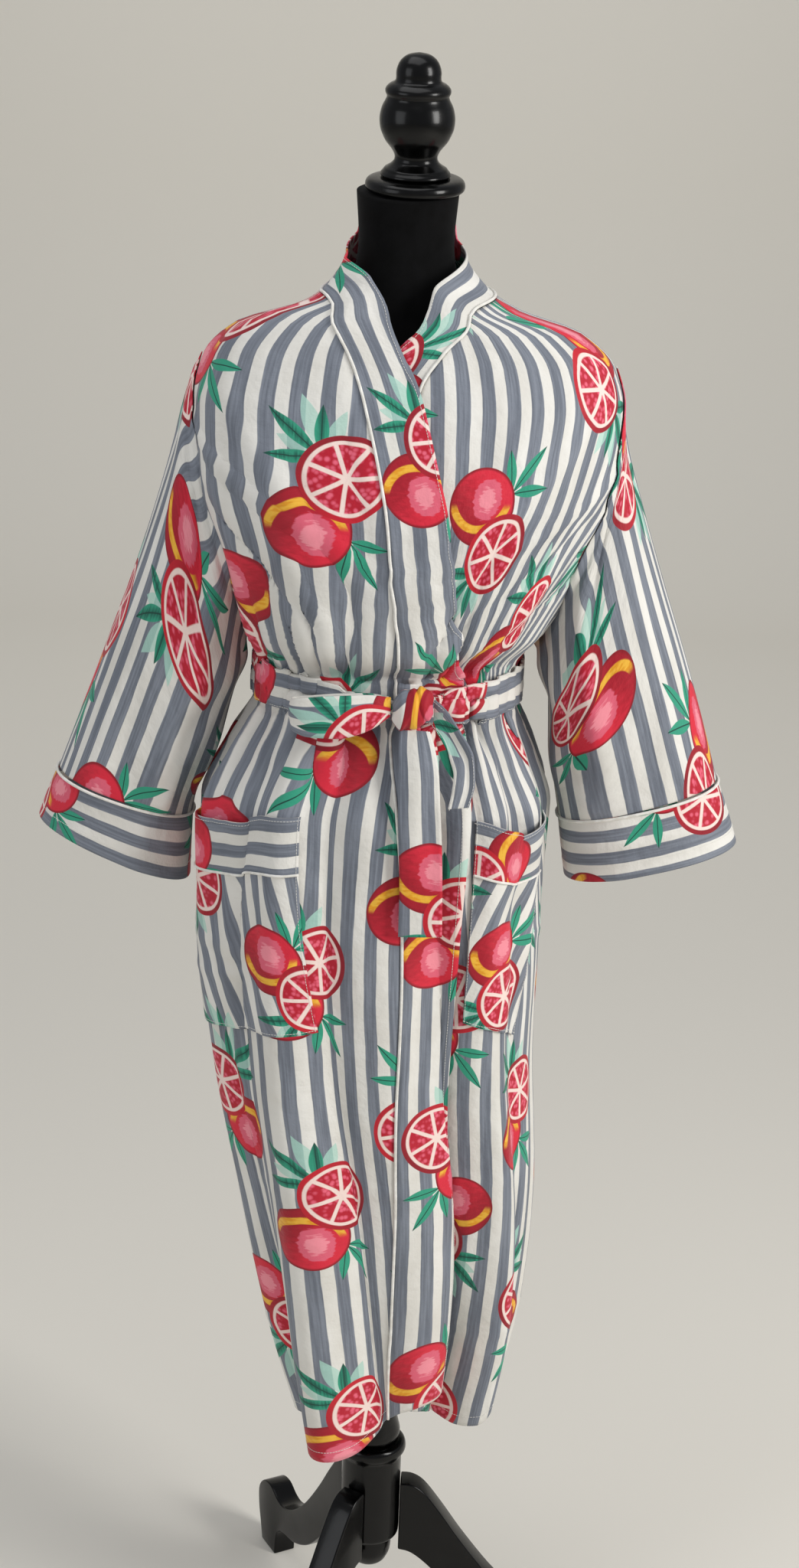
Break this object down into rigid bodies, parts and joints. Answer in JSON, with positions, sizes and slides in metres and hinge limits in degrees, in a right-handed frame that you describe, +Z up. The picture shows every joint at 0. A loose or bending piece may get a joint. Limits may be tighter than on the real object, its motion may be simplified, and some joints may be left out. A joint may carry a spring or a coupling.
{
  "type": "cotton wrap robe on a limbless dress form with a three-legged stand",
  "caption": "Long striped and printed cotton wrap robe with piped bands, wide cuffed sleeves, patch pockets and tie belt, worn by a black limbless dress form on a turned tripod stand.",
  "frame": {"origin": "on the floor, at the middle of the plan of the whole object's bounding box", "axes": "+Z up from the feet to the finial; the front of the robe faces -Y; the wearer's right side is at -X"},
  "size_m": [0.7148, 0.4833, 1.7619],
  "materials": {
    "printed_cotton": "crisp plain-woven cotton, blue-grey and off-white stripes with a large red fruit and green leaf print, soft sheen",
    "white_piping": "white cotton corded piping, matte",
    "black_jersey": "black knitted cover, matte",
    "black_painted_wood": "turned and sawn wood, black lacquer, glossy"
  },
  "bodies": {
    "root": {"back": "printed_cotton", "band_left": "printed_cotton", "band_piping_left": "white_piping", "band_piping_right": "white_piping", "band_right": "printed_cotton", "belt_carrier_left": "printed_cotton", "belt_carrier_right": "printed_cotton", "belt_knot": "printed_cotton", "belt_loop": "printed_cotton", "belt_tail_long": "printed_cotton", "belt_tail_short": "printed_cotton", "belt_wrap": "printed_cotton", "cuff_left": "printed_cotton", "cuff_piping_left": "white_piping", "cuff_piping_right": "white_piping", "cuff_right": "printed_cotton", "form_torso": "black_jersey", "front_left": "printed_cotton", "front_right": "printed_cotton", "neck_finial": "black_painted_wood", "neck_plate": "black_painted_wood", "pocket_band_left": "printed_cotton", "pocket_band_right": "printed_cotton", "pocket_left": "printed_cotton", "pocket_piping_left": "white_piping", "pocket_piping_right": "white_piping", "pocket_right": "printed_cotton", "sleeve_left": "printed_cotton", "sleeve_right": "printed_cotton", "stand_hub": "black_painted_wood", "stand_leg_1": "black_painted_wood", "stand_leg_2": "black_painted_wood", "stand_leg_3": "black_painted_wood", "stand_post": "black_painted_wood"}
  },
  "joints": []
}
